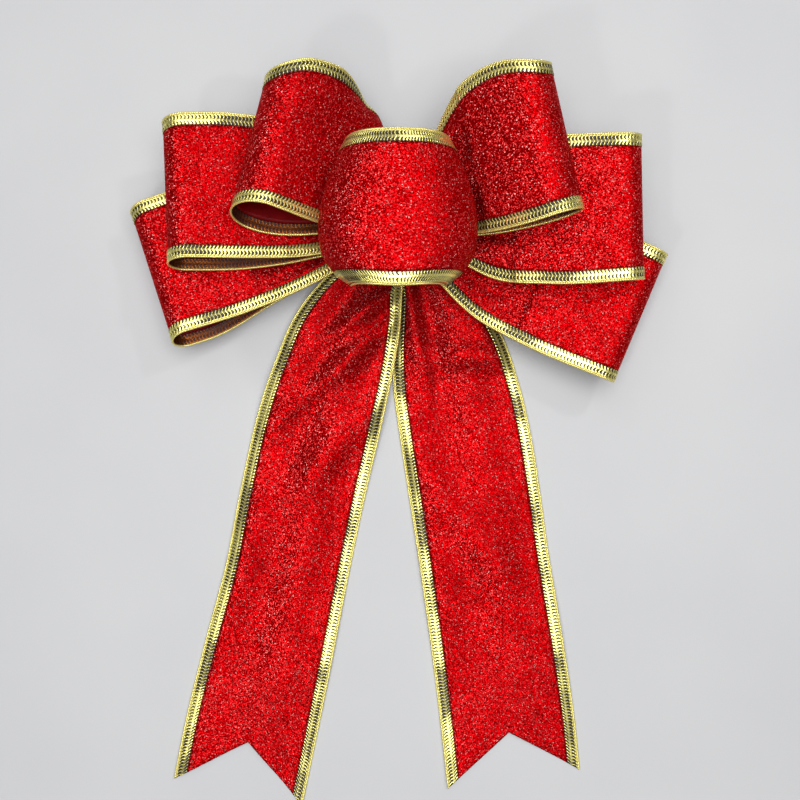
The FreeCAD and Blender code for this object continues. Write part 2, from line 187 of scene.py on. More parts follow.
def side_loop(name):
    """(place, length): place(s, v) is a spot s mm along the ribbon and v mm across it."""
    loop = SIDE_LOOPS[name]
    sign = 1 if name.endswith("right") else -1
    axes = turned(loop["heading"], loop["rise"], loop["roll"])
    reach, fold = loop["reach"], loop["fold"]
    centre = reach - fold
    q = np.linspace(0, 1, 600)
    half_x = LOOP_START + (reach - LOOP_START) * np.sin(q * np.pi / 2)
    opening = np.clip((half_x - LOOP_START) / (centre - LOOP_START), 0, 1)
    half_z = NECK_HALF_GAP + (fold - NECK_HALF_GAP) * np.sin(opening * np.pi / 2) ** OPENING_POWER
    round_end = np.sqrt(np.clip(fold**2 - (half_x - centre) ** 2, 0, None))
    half_z = np.where(half_x > centre, round_end, half_z)
    run_x = np.concatenate([half_x, half_x[-2::-1]])
    run_z = np.concatenate([half_z, -half_z[-2::-1]])
    run_s = np.concatenate([[0], np.cumsum(np.hypot(np.diff(run_x), np.diff(run_z)))])

    def place(s, v):
        x = np.interp(s, run_s, run_x)
        z = np.interp(s, run_s, run_z)
        across = v / HALF_WIDTH
        high = through(loop["upper"], x)
        low = through(loop["lower"], x)
        offset = (high + low) / 2 + sign * drawn_in(v, high - low)
        near, far, skew_start, skew_end = loop["skew"]
        skew = near * ease(8, 24, x) + (far - near) * ease(skew_start, skew_end, x)
        offset = offset - skew * np.clip(0.5 - z / (2 * fold), 0, 1)
        room = 0.3 + 0.85 * np.interp(x, half_x, half_z)
        full = 0.01 + PLEAT_FULLNESS * pleat_height(high - low, loop["waves"])
        depth = full * room / np.hypot(full, room)
        fading = 1 - ease(reach * PLEATS_FADE[0], reach * PLEATS_FADE[1], x)
        depth = depth * fading * (1 - 0.6 * across**4)
        beat = np.pi * loop["waves"] * (across + loop["phase"])
        broad = (1 + np.cos(beat)) / 2
        fine = (1 + np.cos(3.3 * beat + 1.1 * np.sin(x / 15.0))) / 2 * (1 - across**2)
        pleat = -np.sign(z) * depth * (0.8 * broad + 0.34 * fine)
        upper_side = np.clip((sign * across - 0.45) / 0.55, 0, 1)
        rolled = loop["rolled"] * (1 - ease(20, 50, x)) * upper_side**1.6
        drawn_back = offset - 0.035 * loop["rolled"] * rolled
        local = np.stack([x, sign * drawn_back, z + pleat - rolled], -1)
        return local @ axes.T + (0, 0, loop["root"])

    return place, float(run_s[-1])


for loop_name in SIDE_LOOPS:
    print(f"{loop_name} loop: {side_loop(loop_name)[1]:.0f} mm of ribbon")

# %% [markdown]
# The centre loop is a ring of the same ribbon with its width upright: its back is pinched to the
# knot, and its front springs out like a barrel that is fullest a little below its middle. A bent
# cylinder would be too even, so the ring is a rounded outline that narrows above and below.

# %% The centre loop's surface
CENTRE = dict(low=26.4, height=53.6, half_width=33.8, shift=-6.2, fullest=-0.22)
PINCHED_HALF = 5.6


def centre_loop():
    front = np.linspace(-np.pi, np.pi, 1201)
    depth = CENTRE["height"] / 2
    run_x = CENTRE["half_width"] * np.sin(front)
    run_z = depth * np.cos(front)
    run_s = np.concatenate([[0], np.cumsum(np.hypot(np.diff(run_x), np.diff(run_z)))])

    def place(s, v):
        angle = np.interp(s, run_s, front)
        across = v / HALF_WIDTH
        turn = np.abs(angle) / np.pi
        half = HALF_WIDTH - (HALF_WIDTH - PINCHED_HALF) * ease(0.42, 0.97, turn)
        offset = drawn_in(v, 2 * half)
        shift = CENTRE["shift"] * (1 - ease(0.55, 1.0, turn))
        above = np.clip((across - CENTRE["fullest"]) / (1 - CENTRE["fullest"]), 0, 1)
        below = np.clip((CENTRE["fullest"] - across) / (1 + CENTRE["fullest"]), 0, 1)
        barrel = 1 - 0.35 * above**2 - 0.24 * below**2 - 0.20 * below**6
        square = np.sign(np.sin(angle)) * np.abs(np.sin(angle)) ** 0.86
        x = CENTRE["half_width"] * barrel * square
        dip = 2.4 * (above**2 + below**2) * (1 - turn)
        front_face = np.clip(np.cos(angle), 0, None) ** 0.8
        back_face = np.clip(-np.cos(angle), 0, None)
        z = CENTRE["low"] + depth + depth * (front_face - back_face) - dip
        room = 1.2 + 0.16 * np.clip(np.abs(x) - 6, 0, 20)
        pleats = np.minimum(pleat_height(2 * half, 3.0), room) * np.cos(3 * np.pi * across)
        pleats = pleats * ease(0.5, 0.8, turn)
        arch = 9.5 * below**2 * (x / CENTRE["half_width"]) ** 2 * (1 - turn)
        return np.stack([x, shift + offset + arch, z + pleats], -1)

    return place, float(run_s[-1])


print(f"centre loop: {centre_loop()[1]:.0f} mm of ribbon")

# %% [markdown]
# The tails lie nearly flat. They are gathered at the knot, so soft folds run down from there, and
# the cloth keeps a slow wave along its length, because a wired edge never lies quite straight.
# A cloth simulation could fold them, but folds that are listed stay where they are put.

# %% The tails' measures

# Millimetres and degrees. plus and minus are a tail's two edges, as (distance from the knot,
# offset). over and tuck lift its top over the other tail. Each fold goes from one spot (x, y) to
# another (x, y), with a width and a height.
TAILS = {
    "left_tail": dict(
        heading=-102.3, length=281.0, notch=24.5, over=1.0, tuck=5.0,
        plus=((8, 6), (28, 8.4), (36, 9.7), (49, 11.7), (68, 12.7), (94, 12.9), (127, 12.4),
              (161, 12.6), (229, 14), (285, 14.5)),
        minus=((8, -6), (31, -27), (50, -37), (78, -43), (106, -46.2), (140, -46.6), (174, -45.6),
               (213, -47.6), (243, -48.6), (285, -48)),
        folds=((36, 2, 70, -30, 4.5, 5.0), (54, 2, 104, -36, 5.0, 4.6), (92, 6, 160, -38, 8, 3.0)),
    ),
    "right_tail": dict(
        heading=-82.2, length=270.0, notch=22.6, over=0.0, tuck=0.0,
        plus=((8, 6), (30, 26), (51, 38.7), (86, 47.3), (106, 49), (135, 49.9), (168, 50),
              (207, 51), (246, 51.5), (285, 50)),
        minus=((8, -5), (30, -6), (50, -9.4), (57, -10.6), (78, -12.9), (97, -13), (126, -12.6),
               (160, -12), (198, -11.8), (237, -12.3), (285, -13.5)),
        folds=((22, 0, 84, 3, 4.5, 4.2), (28, 25, 70, 37, 7.6, 7.0), (65, 14, 72, 50, 6.5, 4.2),
               (120, -4, 190, 38, 9, 3.0)),
    ),
}
TAIL_START = 8
for tail_name in TAILS:
    print(f"{tail_name}: {TAILS[tail_name]['length']:.0f} mm of ribbon")

# %% [markdown]
# A fold in cloth is a soft ridge that runs from one spot and dies away. Each is added to the
# tail's height, and the swallow-tail end comes from shortening the ribbon more at its middle.

# %% A tail's surface


def ridge(x, y, fold):
    """A soft fold that starts at one spot, fades out by another, and has a width and a height."""
    x0, y0, x1, y1, width, height = fold
    length = math.hypot(x1 - x0, y1 - y0)
    along = ((x - x0) * (x1 - x0) + (y - y0) * (y1 - y0)) / length**2
    aside = ((x - x0) * (y1 - y0) - (y - y0) * (x1 - x0)) / length
    fading = ease(-0.5, 0.1, along) * (1 - ease(0.4, 1.3, along))
    return height * np.exp(-((aside / width) ** 2)) * fading


def tail(name):
    spec = TAILS[name]
    axes = turned(spec["heading"], 0, 0)
    length = spec["length"]

    def place(s, v):
        across = v / HALF_WIDTH
        cut = spec["notch"] * (1 - np.abs(across))
        x = TAIL_START + s * (length - TAIL_START) / length
        x = x - ease(0.75 * length, length, x) * cut
        high = through(spec["plus"], x)
        low = through(spec["minus"], x)
        y = (high + low) / 2 + drawn_in(v, high - low)
        height = np.minimum(pleat_height(high - low, 2.0), 0.8 + 0.06 * x)
        pleat = height * (1 + np.cos(2 * np.pi * (across - 0.2))) / 2 * (1 - across**4)
        wave = 0.8 * (1 + np.sin(x / 17.0 + 2.2 * across)) * ease(60, 130, x)
        z = 0.5 + spec["over"] * (1 - ease(90, 150, x)) + pleat + wave
        z = z + spec["tuck"] * (1 - ease(75, 120, x))
        for fold in spec["folds"]:
            z = z + ridge(x, y, fold) * (1 - across**6)
        return np.stack([x, y, z], -1) @ axes.T

    return place, length


for tail_name in TAILS:
    print(f"{tail_name} ends at", np.round(tail(tail_name)[0](TAILS[tail_name]["length"], 0.0)))

# %% [markdown]
# The finishes are built from shader nodes. A few helpers say in one line what takes several
# clicks in the node editor: add a node, fill its inputs, and link it to what comes before.

# %% Shader helpers
NUMBER, VECTOR, COLOUR = "NodeSocketFloat", "NodeSocketVector", "NodeSocketColor"


def node(tree, kind, inputs=None, **settings):
    """Adds a node, sets its properties, and fills or links its inputs."""
    made = tree.nodes.new(kind)
    for key, setting in settings.items():
        setattr(made, key, setting)
    for key, given in (inputs or {}).items():
        if isinstance(given, bpy.types.NodeSocket):
            tree.links.new(given, made.inputs[key])
        else:
            made.inputs[key].default_value = given
    return made


def maths(tree, operation, *values):
    return node(tree, "ShaderNodeMath", dict(enumerate(values)), operation=operation).outputs[0]


def vector_maths(tree, operation, *values):
    made = node(tree, "ShaderNodeVectorMath", dict(enumerate(values)), operation=operation)
    return made.outputs[0]


def between(tree, factor, *limits):
    """A Map Range node's result: its factor and, in order, the limits from, to, from, to."""
    return node(tree, "ShaderNodeMapRange", {0: factor, **dict(enumerate(limits, 1))}).outputs[0]


def bumped(tree, height, strength, distance):
    bump = node(
        tree, "ShaderNodeBump", {"Height": height, "Strength": strength, "Distance": distance})
    return bump.outputs[0]


def blend_colour(tree, factor, a, b, mode="MIX"):
    mix = node(tree, "ShaderNodeMix", data_type="RGBA", blend_type=mode)
    for key, given in ((0, factor), (6, a), (7, b)):
        if isinstance(given, bpy.types.NodeSocket):
            tree.links.new(given, mix.inputs[key])
        else:
            mix.inputs[key].default_value = given
    return mix.outputs[2]


def group(name, inputs, outputs):
    """An empty shader group with named sockets, as (tree, its input sockets, its output node)."""
    tree = bpy.data.node_groups.new(name, "ShaderNodeTree")
    for socket, kind in inputs:
        tree.interface.new_socket(socket, in_out="INPUT", socket_type=kind)
    for socket, kind in outputs:
        tree.interface.new_socket(socket, in_out="OUTPUT", socket_type=kind)
    return tree, tree.nodes.new("NodeGroupInput").outputs, tree.nodes.new("NodeGroupOutput")


def new_material(name):
    material = bpy.data.materials.new(name)
    material.use_nodes = True
    tree = material.node_tree
    return material, tree, tree.nodes["Principled BSDF"]


def ramp(tree, factor, *stops):
    """A colour ramp with its stops as (position, colour)."""
    made = node(tree, "ShaderNodeValToRGB", {0: factor})
    elements = made.color_ramp.elements
    while len(elements) < len(stops):
        elements.new(0.5)
    for element, (position, colour) in zip(elements, stops):
        element.position = position
        element.color = (*colour, 1)
    return made.outputs[0]


print("a group's sockets can be", NUMBER, VECTOR, "or", COLOUR)

# %% [markdown]
# The glitter is a layer of tiny flakes glued to satin. Each flake lies at its own tilt, so each
# mirrors another part of the room. A Voronoi pattern gives every flake a cell, and the cell's
# random colour is used twice: to tip the surface's normal, and to choose how bright the flake is.

# %% The glitter flakes, as a group
flakes, given, out = group(
    "glitter_flakes",
    (("Flake size", NUMBER), ("Tilt", NUMBER)),
    (("Random", NUMBER), ("Second random", NUMBER), ("Normal", VECTOR), ("Gap", NUMBER)),
)
uv = node(flakes, "ShaderNodeUVMap", uv_map="ribbon").outputs[0]
scaled = vector_maths(flakes, "DIVIDE", uv, node(
    flakes, "ShaderNodeCombineXYZ", {0: given[0], 1: given[0], 2: 1.0}).outputs[0])
cells = node(
    flakes, "ShaderNodeTexVoronoi", {"Vector": scaled, "Scale": 1.0}, voronoi_dimensions="2D")
parts = node(flakes, "ShaderNodeSeparateColor", {0: cells.outputs["Color"]})
centred = vector_maths(flakes, "SUBTRACT", cells.outputs["Color"], (0.5, 0.5, 0.5))
spread = node(
    flakes, "ShaderNodeVectorMath", {0: centred, "Scale": given[1]}, operation="SCALE").outputs[0]
face = node(flakes, "ShaderNodeNewGeometry").outputs["Normal"]
tipped = vector_maths(flakes, "NORMALIZE", vector_maths(flakes, "ADD", face, spread))
gap = between(flakes, cells.outputs["Distance"], 0.35, 0.75)
for index, socket in enumerate((parts.outputs[0], parts.outputs[1], tipped, gap)):
    flakes.links.new(socket, out.inputs[index])
print("glitter_flakes:", len(flakes.nodes), "nodes")

# %% [markdown]
# The front of the cloth is red all over, but no two flakes are the same red: most are deep, a few
# are bright, and about one in a hundred is a pale pink. The bright and pale pink flakes are painted
# sparkle, highlights set in their colour. Each flake's random number picks its colour and how
# metallic it is. Slow cloudy patches of painted shade darken the field.

# %% Red glitter cloth, front side
FLAKE = 0.00040
FLAKE_TILT = 0.80


def glitter_material():
    material, tree, shader = new_material("red_glitter")
    flake = node(tree, "ShaderNodeGroup", node_tree=flakes)
    flake.inputs[0].default_value = FLAKE
    flake.inputs[1].default_value = FLAKE_TILT
    # Painted sparkle: the ramp's top stops, bright red to pale pink, are highlights set in the flakes'
    # colour.
    shades = ramp(
        tree, flake.outputs["Random"],
        (0.0, (0.33, 0.0, 0.001)), (0.50, (0.46, 0.0, 0.001)), (0.76, (0.64, 0.008, 0.009)),
        (0.92, (0.88, 0.055, 0.056)), (0.975, (0.96, 0.13, 0.125)), (0.992, (1.0, 0.55, 0.50)),
    )
    where = node(tree, "ShaderNodeUVMap", uv_map="ribbon").outputs[0]
    # Painted shade: slow cloudy patches darken the red field and stand in for the shade between the
    # layers.
    cloud = node(tree, "ShaderNodeTexNoise", {"Vector": where, "Scale": 62.0, "Detail": 4.0})
    depth = between(tree, cloud.outputs[0], 0.36, 0.68, 0.0, 0.42)
    patch_shaded = blend_colour(tree, depth, shades, (0.45, 0.1, 0.1, 1), "MULTIPLY")
    gapped = blend_colour(tree, flake.outputs["Gap"], patch_shaded, (0.32, 0.0, 0.002, 1))
    tree.links.new(gapped, shader.inputs["Base Color"])
    # The sparkle flakes are made less metallic, so their painted highlight shows whatever the light.
    metal = between(tree, flake.outputs["Random"], 0.74, 0.90, 0.8, 0.2)
    tree.links.new(metal, shader.inputs["Metallic"])
    rough = between(tree, flake.outputs["Random"], 0.0, 1.0, 0.5, 0.36)
    tree.links.new(rough, shader.inputs["Roughness"])
    shader.inputs["Specular IOR Level"].default_value = 0.06
    shader.inputs["Specular Tint"].default_value = (0.75, 0.05, 0.05, 1)
    tree.links.new(flake.outputs["Normal"], shader.inputs["Normal"])
    return material


RED = glitter_material()
print(f"{RED.name}: flakes {FLAKE / MM:.2f} mm wide")

# %% [markdown]
# The back of the cloth has no glitter: it is the plain satin that the flakes are glued to, seen
# inside the loops. Fine threads give it a slight bump, and cloudy patches vary its shine a little.

# %% Dark red satin, the cloth's back side


def satin_material():
    material, tree, shader = new_material("red_satin")
    where = node(tree, "ShaderNodeUVMap", uv_map="ribbon").outputs[0]
    threads = node(tree, "ShaderNodeTexWave", {"Vector": where, "Scale": 900.0, "Distortion": 1.5})
    cloud = node(tree, "ShaderNodeTexNoise", {"Vector": where, "Scale": 120.0, "Detail": 4.0})
    shades = ramp(tree, cloud.outputs[0], (0.3, (0.10, 0.000, 0.001)), (0.7, (0.18, 0.001, 0.002)))
    tree.links.new(shades, shader.inputs["Base Color"])
    rough = between(tree, cloud.outputs[0], 0.0, 1.0, 0.32, 0.5)
    tree.links.new(rough, shader.inputs["Roughness"])
    tree.links.new(bumped(tree, threads.outputs["Fac"], 0.25, 0.0002), shader.inputs["Normal"])
    shader.inputs["Specular IOR Level"].default_value = 0.12
    return material


SATIN = satin_material()
print(f"{SATIN.name}: {len(SATIN.node_tree.nodes)} nodes")

# %% [markdown]
# The border is woven with flat gold metallic thread: short rungs like a comb along its inner side,
# a solid rib, a second row of slanting rungs, and the tube that holds the edge wire. The relief is
# real geometry, and the colour follows the same two measures, along and across the ribbon.

# %% The gold weave, as a group
PITCH = 1.6
COLUMN = 3.0
CREST = 3.45
BOW = 0.33
RIB_AT = 2.1
SELVAGE_FROM, SELVAGE_TO = 4.2, 4.5
weave, given, out = group(
    "gold_weave",
    (("Gold", COLOUR), ("Gap", COLOUR)),
    (("Color", COLOUR), ("Thread", NUMBER), ("Height", NUMBER)),
)
uv = node(weave, "ShaderNodeUVMap", uv_map="ribbon").outputs[0]
axes = node(weave, "ShaderNodeSeparateXYZ", {0: uv}).outputs
inward = maths(weave, "SUBTRACT", maths(weave, "ABSOLUTE", axes[1]), INNER * MM)
turn = maths(
    weave, "MULTIPLY_ADD", inward, 2 * math.pi / (COLUMN * MM), -2 * math.pi * CREST / COLUMN)
slant = maths(weave, "MULTIPLY_ADD", maths(weave, "COSINE", turn), BOW * MM, axes[0])
beat = maths(weave, "MULTIPLY", slant, 2 * math.pi / (PITCH * MM))
loose = node(weave, "ShaderNodeTexNoise", {"Vector": uv, "Scale": 38.0, "Detail": 1.0}).outputs[0]
parted = between(weave, loose, 0.42, 0.58)
opened = maths(weave, "MULTIPLY_ADD", parted, 1.30, -0.60)
rungs = between(weave, maths(weave, "SUBTRACT", maths(weave, "SINE", beat), opened), -0.05, 0.35)
from_rib = maths(weave, "ABSOLUTE", maths(weave, "SUBTRACT", inward, RIB_AT * MM))
rib = between(weave, from_rib, 0.60 * MM, 0.40 * MM)
dimmed = maths(weave, "MULTIPLY_ADD", parted, -0.85, 1.0)
selvage = between(weave, inward, SELVAGE_FROM * MM, SELVAGE_TO * MM)
solid = maths(weave, "MAXIMUM", maths(weave, "MULTIPLY", rib, dimmed), selvage)
thread = maths(weave, "MAXIMUM", rungs, solid)
fibre = node(weave, "ShaderNodeTexNoise", {"Vector": uv, "Scale": 2600.0, "Detail": 2.0}).outputs[0]
worn = between(weave, fibre, 0.3, 0.7, 0.65, 1.15)
tinted = node(
    weave, "ShaderNodeVectorMath", {0: given[0], "Scale": worn}, operation="SCALE").outputs[0]
weave.links.new(blend_colour(weave, thread, given[1], tinted), out.inputs[0])
weave.links.new(thread, out.inputs[1])
weave.links.new(maths(weave, "MULTIPLY_ADD", fibre, 0.35, thread), out.inputs[2])
print(f"gold_weave: {len(weave.nodes)} nodes, a rung every {PITCH} mm")

# %% [markdown]
# The same weave is used on both sides of the border, bright gold in front and a dark brown behind.
# The brown is partly the thread's underside and partly painted shade for the shadow inside the
# loops. The edge wire is wrapped in gold thread of its own, so its tube has fine rings round it.
# The gaps between the rungs are nearly black, so that the gold reads as separate threads.

# %% Gold border, front and back, and gold wired edge


def gold_material(name, gold, gap_colour):
    material, tree, shader = new_material(name)
    woven = node(tree, "ShaderNodeGroup", node_tree=weave)
    woven.inputs[0].default_value = (*gold, 1)
    woven.inputs[1].default_value = (*gap_colour, 1)
    tree.links.new(woven.outputs["Color"], shader.inputs["Base Color"])
    metal = between(tree, woven.outputs["Thread"], 0.0, 1.0, 0.2, 0.84)
    tree.links.new(metal, shader.inputs["Metallic"])
    rough = between(tree, woven.outputs["Thread"], 0.0, 1.0, 0.5, 0.3)
    tree.links.new(rough, shader.inputs["Roughness"])
    tree.links.new(bumped(tree, woven.outputs["Height"], 0.4, 0.0003), shader.inputs["Normal"])
    return material


def edge_material():
    material, tree, shader = new_material("gold_edge")
    where = node(tree, "ShaderNodeUVMap", uv_map="ribbon").outputs[0]
    wraps = node(tree, "ShaderNodeTexWave", {"Vector": where, "Scale": 420.0, "Distortion": 0.6})
    shades = ramp(tree, wraps.outputs["Fac"], (0.1, (0.55, 0.45, 0.10)), (0.5, (0.96, 0.86, 0.30)))
    tree.links.new(shades, shader.inputs["Base Color"])
    shader.inputs["Metallic"].default_value = 0.65
    rough = between(tree, wraps.outputs["Fac"], 0.0, 1.0, 0.4, 0.25)
    tree.links.new(rough, shader.inputs["Roughness"])
    tree.links.new(bumped(tree, wraps.outputs["Fac"], 0.5, 0.0002), shader.inputs["Normal"])
    return material


GOLD = gold_material("gold_weave_front", (0.96, 0.86, 0.27), (0.018, 0.010, 0.002))
# The back's dark brown is partly painted shade, for the shadow inside the loops.
GOLD_BACK_SHADED = gold_material("gold_weave_back_shaded", (0.26, 0.07, 0.012), (0.03, 0.001, 0.001))
EDGE = edge_material()
print("materials:", [m.name for m in bpy.data.materials if m.users])

# %% [markdown]
# Cloth is made from a grid of spots: along the ribbon one way, across it the other. A Solidify
# modifier gives it its thickness and puts the back side's material on the back, and applying it
# leaves a closed shell. The UV map holds real metres, so a pattern's scale is its size in metres.

# %% Making a piece of ribbon
NUDGE = 0.05


def surface(place, s, v, lift=0.0):
    """The spots at (s, v) in metres, raised by lift millimetres along the cloth's own normal."""
    spot = place(s, v)
    if np.any(lift):
        along = place(s + NUDGE, v) - place(s - NUDGE, v)
        aside = place(s, v + NUDGE) - place(s, v - NUDGE)
        normal = np.cross(along, aside)
        normal /= np.maximum(np.linalg.norm(normal, axis=-1, keepdims=True), 1e-9)
        spot = spot + normal * np.asarray(lift)[..., None]
    return spot * MM


def mesh_object(name, points, faces, uvs, materials):
    """A smooth mesh object whose corners take their UV from their vertex."""
    mesh = bpy.data.meshes.new(name)
    mesh.from_pydata(points.tolist(), [], faces)
    layer = mesh.uv_layers.new(name="ribbon")
    corner = np.zeros(len(mesh.loops), np.int32)
    mesh.loops.foreach_get("vertex_index", corner)
    layer.data.foreach_set("uv", uvs[corner].astype(np.float32).ravel())
    mesh.polygons.foreach_set("use_smooth", [True] * len(mesh.polygons))
    piece = bpy.data.objects.new(name, mesh)
    bpy.context.scene.collection.objects.link(piece)
    for material in materials:
        mesh.materials.append(material)
    return piece


def cloth(name, place, s, v, lift, materials, thickness):
    """A strip of cloth over the grid s by v, with a back side and a thickness."""
    along, across = np.meshgrid(s, v, indexing="ij")
    raised = lift(along, across) if lift else 0.0
    points = surface(place, along, across, raised).reshape(-1, 3)
    uvs = np.stack([along, across], -1).reshape(-1, 2) * MM
    rows, columns = len(s), len(v)
    corner = np.arange((rows - 1) * columns).reshape(rows - 1, columns)[:, :-1].ravel()
    faces = np.stack([corner, corner + columns, corner + columns + 1, corner + 1], -1)
    piece = mesh_object(name, points, faces.tolist(), uvs, materials)
    solidify = piece.modifiers.new("thickness", "SOLIDIFY")
    solidify.thickness = thickness * MM
    solidify.offset = -1
    solidify.material_offset = 1
    solidify.material_offset_rim = 1
    bpy.context.view_layer.objects.active = piece
    bpy.ops.object.modifier_apply(modifier=solidify.name)
    return piece


print(f"cloth shells: web {WEB_THICKNESS} mm thick, border {BORDER_THICKNESS} mm")

# %% [markdown]
# The wired edge is what makes this ribbon hold its shape: a thin wire in a woven tube along each
# side. Two tubes are swept along the cloth's own edges here. A bevelled curve could do it, but its
# ends and its UV map would be harder to control.

# %% The wired edges
TUBE_SHARE = 0.62


def wired_edges(name, place, s, sides=8):
    """The two bright tubes that hold the edge wires, one along each side of the ribbon."""
    radius = TUBE_SHARE * WIRED_EDGE
    ring = np.linspace(0, 2 * np.pi, sides, endpoint=False)
    points, faces, uvs = [], [], []
    count = 0
    for side in (-1, 1):
        v = np.full_like(s, side * (HALF_WIDTH - WIRED_EDGE / 2))
        middle = place(s, v)
        along = place(s + NUDGE, v) - place(s - NUDGE, v)
        aside = place(s, v + NUDGE) - place(s, v - NUDGE)
        along /= np.linalg.norm(along, axis=-1, keepdims=True)
        normal = np.cross(along, aside)
        normal /= np.linalg.norm(normal, axis=-1, keepdims=True)
        aside = np.cross(normal, along)
        out_aside = np.cos(ring)[None, :, None] * aside[:, None]
        out_normal = np.sin(ring)[None, :, None] * normal[:, None]
        tube = middle[:, None] + radius * (out_aside + out_normal)
        points.append(tube.reshape(-1, 3) * MM)
        around = np.broadcast_to(v[:, None] + ring[None] * radius, tube.shape[:2])
        length_along = np.broadcast_to(s[:, None], around.shape)
        uvs.append(np.stack([length_along, around], -1).reshape(-1, 2) * MM)
        for i in range(len(s) - 1):
            for j in range(sides):
                a, b = i * sides + j, i * sides + (j + 1) % sides
                faces.append([count + a, count + b, count + b + sides, count + a + sides])
        faces.append([count + j for j in range(sides)][::-1])
        faces.append([count + (len(s) - 1) * sides + j for j in range(sides)])
        count += len(s) * sides
    return mesh_object(name, np.concatenate(points), faces, np.concatenate(uvs), (EDGE,))


print(f"wired edge: a tube {2 * TUBE_SHARE * WIRED_EDGE:.2f} mm thick along each side")

# %% [markdown]
# The gold thread stands a little above the cloth: a comb of rungs that bows as it crosses the
# border, and a rib along its middle that fills the gaps between them. A bump map alone would stay
# flat at the loop's outline, so the relief moves the mesh, and the shader adds only the fine fibre.

# %% The borders' relief


def woven_relief(s, v):
    """How far the gold weave stands above the cloth: bowed rungs, and a rib between them."""
    inward = np.abs(v) - INNER
    bow = BOW * np.cos(2 * np.pi * (inward - CREST) / COLUMN)
    beat = np.sin((s + bow) * 2 * np.pi / PITCH)
    rungs = np.clip(beat * 0.7 + 0.75, 0, 1)
    rib = np.exp(-(((inward - RIB_AT) / 0.5) ** 2))
    ends = ease(-0.1, 0.5, inward)
    return 0.10 + ends * (0.22 * rungs + 0.26 * rib * (1 - rungs))


print(f"a rung's crest stands {woven_relief(0.25 * PITCH, INNER + 2.7):.2f} mm above the cloth")

# %% [markdown]
# Every length of ribbon is now the same job: a web, two borders and the two wired edges, each
# standing for its own CAD node and riding on the loop's or tail's own body.

# %% Building the lengths of ribbon
WEB_STEP, WEB_COLUMNS = 1.2, 37
BORDER_STEP, BORDER_COLUMNS = PITCH / 5, 12
EDGE_STEP = 0.8


def steps(length, step):
    return np.linspace(0, length, max(2, round(length / step) + 1))


def build(name, body, shape, low_word, high_word, held):
    """One length of ribbon: its web, two gold borders and two wired edges, on its body."""
    place, length = shape
    v = np.linspace(-INNER, INNER, WEB_COLUMNS)
    web = cloth(
        f"{name}_glitter_web", place, steps(length, WEB_STEP), v, None,
        (RED, SATIN), WEB_THICKNESS,
    )
    borders = []
    for word, side in ((low_word, -1), (high_word, 1)):
        v = side * np.linspace(INNER, HALF_WIDTH - WIRED_EDGE, BORDER_COLUMNS)[::side]
        strip = cloth(
            f"{name}_{word}_gold_border", place, steps(length, BORDER_STEP), v, woven_relief,
            (GOLD, GOLD_BACK_SHADED), BORDER_THICKNESS,
        )
        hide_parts(f"{name}_{word}_border")
        borders.append(strip)
    edges = wired_edges(f"{name}_wired_edge_pair", place, steps(length, EDGE_STEP))
    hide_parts(f"{name}_wired_edges")
    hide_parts(f"{name}_web")
    for piece in (web, *borders, edges):
        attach(piece, body)
    kept = sum(face.area for face in web.data.polygons) / 2 / (2 * INNER * length * MM * MM)
    print(f"{name}: ribbon {length:.0f} mm long, {kept:.2f} of its flat area")


for loop_name in SIDE_LOOPS:
    words = ("upper", "lower") if loop_name.endswith("left") else ("lower", "upper")
    build(f"{loop_name}_loop", f"{loop_name}_loop", side_loop(loop_name), *words, "gathered")
build("centre_loop", "knot", centre_loop(), "lower", "upper", "gathered")
for tail_name in TAILS:
    words = ("outer", "inner") if tail_name.startswith("left") else ("inner", "outer")
    build(tail_name, tail_name, tail(tail_name), *words, "laid")

# %% [markdown]
# Behind the centre loop every ply is pinched together. From the front nothing of it shows; from
# behind it is a stack of small pleats with wire round it, so it is made as pleated layers.

# %% The pinched stack of ribbon
PLEAT_LAYERS = 12


def gathered_stack():
    low, high = (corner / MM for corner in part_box("gathered_knot"))
    x = np.linspace(low.x, high.x, 9)
    y = np.linspace(low.y, high.y, 49)
    pitch = (high.z - low.z) / PLEAT_LAYERS
    stack = []
    for layer in range(PLEAT_LAYERS):
        def place(s, v, layer=layer):
            waist = 1 - 0.12 * (1 - (s / high.x) ** 2)
            wave = 0.32 * pitch * np.sin(v * 2.6 + 0.9 * layer)
            return np.stack([s, v * waist, low.z + pitch * (layer + 0.5) + wave * waist], -1)
        stack.append(cloth(f"pleat_{layer}", place, x, y, None, (RED, SATIN), 0.5 * pitch))
    bpy.ops.object.select_all(action="DESELECT")
    for piece in stack:
        piece.select_set(True)
    bpy.context.view_layer.objects.active = stack[0]
    bpy.ops.object.join()
    stack[0].name = "gathered_pleats"
    return stack[0]


pleats = gathered_stack()
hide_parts("gathered_knot")
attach(pleats, "knot")
print("gathered_pleats:", PLEAT_LAYERS, "layers,", len(pleats.data.polygons), "faces")

# %% [markdown]
# The binding wire is dark green florist's wire, and the tie is a red plastic strip with a bright
# wire core, like a bread bag's tie. Their loaded solids already have the right shape, so they keep
# it and are only given a finish: stained metal, and ribbed plastic with a grain.

# %% Wire and tie: the CAD solids, with their own finishes


def wire_material(name, colour):
    material, tree, shader = new_material(name)
    where = node(tree, "ShaderNodeTexCoord").outputs["Object"]
    noise = node(tree, "ShaderNodeTexNoise", {"Vector": where, "Scale": 900.0, "Detail": 4.0})
    stain = noise.outputs[0]
    darker = tuple(c * 0.45 for c in colour)
    tree.links.new(ramp(tree, stain, (0.35, darker), (0.65, colour)), shader.inputs["Base Color"])
    shader.inputs["Metallic"].default_value = 1.0
    tree.links.new(between(tree, stain, 0.0, 1.0, 0.5, 0.25), shader.inputs["Roughness"])
    return material


